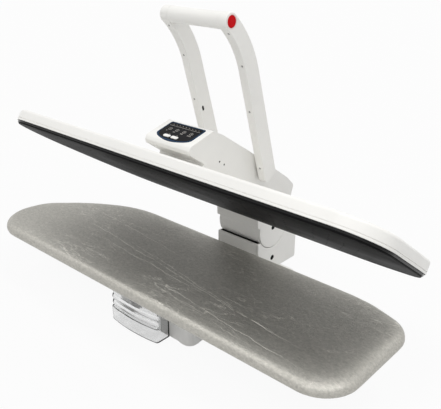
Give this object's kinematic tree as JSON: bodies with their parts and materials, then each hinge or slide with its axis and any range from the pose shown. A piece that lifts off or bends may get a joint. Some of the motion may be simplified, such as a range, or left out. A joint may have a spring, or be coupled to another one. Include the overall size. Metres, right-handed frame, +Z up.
{
  "type": "steam ironing press",
  "caption": "Free-standing steam ironing press, open: padded silver board on a moulded base with a water tank, hinged heated head with control panel, and a pressing handle on two bent arms.",
  "frame": {"origin": "on the table, under the middle of the press's outer box in its open rest position", "axes": "+X along the board to the user's right, +Y from the user to the hinge, +Z up"},
  "size_m": [1.034, 0.512, 0.6809],
  "materials": {
    "white_plastic": "satin white moulded plastic",
    "grey_plastic": "satin grey moulded plastic",
    "black_plastic": "satin black heat-resistant plastic",
    "navy_plastic": "gloss dark blue plastic",
    "lens_black": "gloss black display window",
    "red_plastic": "gloss red plastic",
    "silver_fabric": "silver metallised cotton",
    "foam": "heat-resistant foam",
    "zinc_steel": "zinc-plated steel",
    "dark_coating": "dark non-stick coating on aluminium",
    "cast_alloy": "as-cast aluminium",
    "brass": "turned brass",
    "clear_plastic": "clear smoky plastic",
    "rubber": "black rubber",
    "hose_silicone": "cream silicone",
    "circuit_board": "green circuit board"
  },
  "bodies": {
    "base": {"board_cover": "silver_fabric", "board_pad": "foam", "board_tray": "zinc_steel", "board_rail_front": "zinc_steel", "board_rail_rear": "zinc_steel", "base_chassis": "white_plastic", "base_plate": "zinc_steel", "foot_front_left": "rubber", "foot_front_right": "rubber", "foot_rear_left": "rubber", "foot_rear_right": "rubber", "valve_socket": "grey_plastic", "water_pump": "grey_plastic", "suction_hose": "hose_silicone", "feed_hose": "hose_silicone", "power_board": "circuit_board", "cable_gland": "black_plastic", "column_body": "white_plastic", "column_side_left": "white_plastic", "column_side_right": "white_plastic", "hinge_bracket": "zinc_steel", "hinge_shaft": "zinc_steel"},
    "tank": {"water_tank": "clear_plastic", "tank_lid": "clear_plastic", "tank_valve": "grey_plastic"},
    "head": {"counter_spring_left": "zinc_steel", "counter_spring_right": "zinc_steel", "hinge_bush_left": "brass", "hinge_bush_right": "brass", "water_swivel": "brass", "hinge_frame": "zinc_steel", "hinge_barrel": "white_plastic", "hinge_cheek_left": "white_plastic", "hinge_cheek_right": "white_plastic", "head_cover": "white_plastic", "heat_guard": "black_plastic", "heater_plate": "dark_coating", "steam_chamber": "cast_alloy", "head_spine": "zinc_steel", "heating_element": "zinc_steel", "thermostat": "brass", "thermal_fuse": "zinc_steel", "steam_hose": "hose_silicone", "head_housing": "white_plastic", "panel_bezel": "navy_plastic", "panel_lens": "lens_black", "control_board": "circuit_board"},
    "key_left": {"panel_key_left": "white_plastic"},
    "key_right": {"panel_key_right": "white_plastic"},
    "handle": {"handle_arm_left": "white_plastic", "handle_arm_right": "white_plastic", "grip_sleeve": "white_plastic", "grip_core": "zinc_steel", "grip_end_cap": "white_plastic", "steam_switch": "black_plastic", "lever_shaft": "zinc_steel", "lever_spring": "zinc_steel"},
    "button": {"steam_button": "red_plastic", "steam_button_spring": "zinc_steel"}
  },
  "joints": [
    {"name": "head_hinge", "type": "hinge", "parent": "base", "child": "head", "pos_m": [0, 0.16, 0.159], "axis": [1, 0, 0], "range_deg": [0, 35.5], "stiffness_Nm_per_rad": 14, "springref_deg": -128.92},
    {"name": "handle_lever", "type": "hinge", "parent": "head", "child": "handle", "pos_m": [0, 0.10312, 0.33395], "axis": [1, 0, 0], "range_deg": [0, 24], "stiffness_Nm_per_rad": 3, "springref_deg": -57.3},
    {"name": "steam_button_press", "type": "slide", "parent": "handle", "child": "button", "axis": [-1, 0, 0], "range_m": [0, 0.003], "stiffness_N_per_m": 400, "springref_m": -0.004},
    {"name": "key_left_press", "type": "slide", "parent": "head", "child": "key_left", "axis": [0, 0.2538, -0.9673], "range_m": [0, 0.0008], "stiffness_N_per_m": 1500, "springref_m": -0.001},
    {"name": "key_right_press", "type": "slide", "parent": "head", "child": "key_right", "axis": [0, 0.2538, -0.9673], "range_m": [0, 0.0008], "stiffness_N_per_m": 1500, "springref_m": -0.001},
    {"name": "tank_slide", "type": "slide", "parent": "base", "child": "tank", "axis": [0, -1, 0], "range_m": [0, 0.12]}
  ]
}
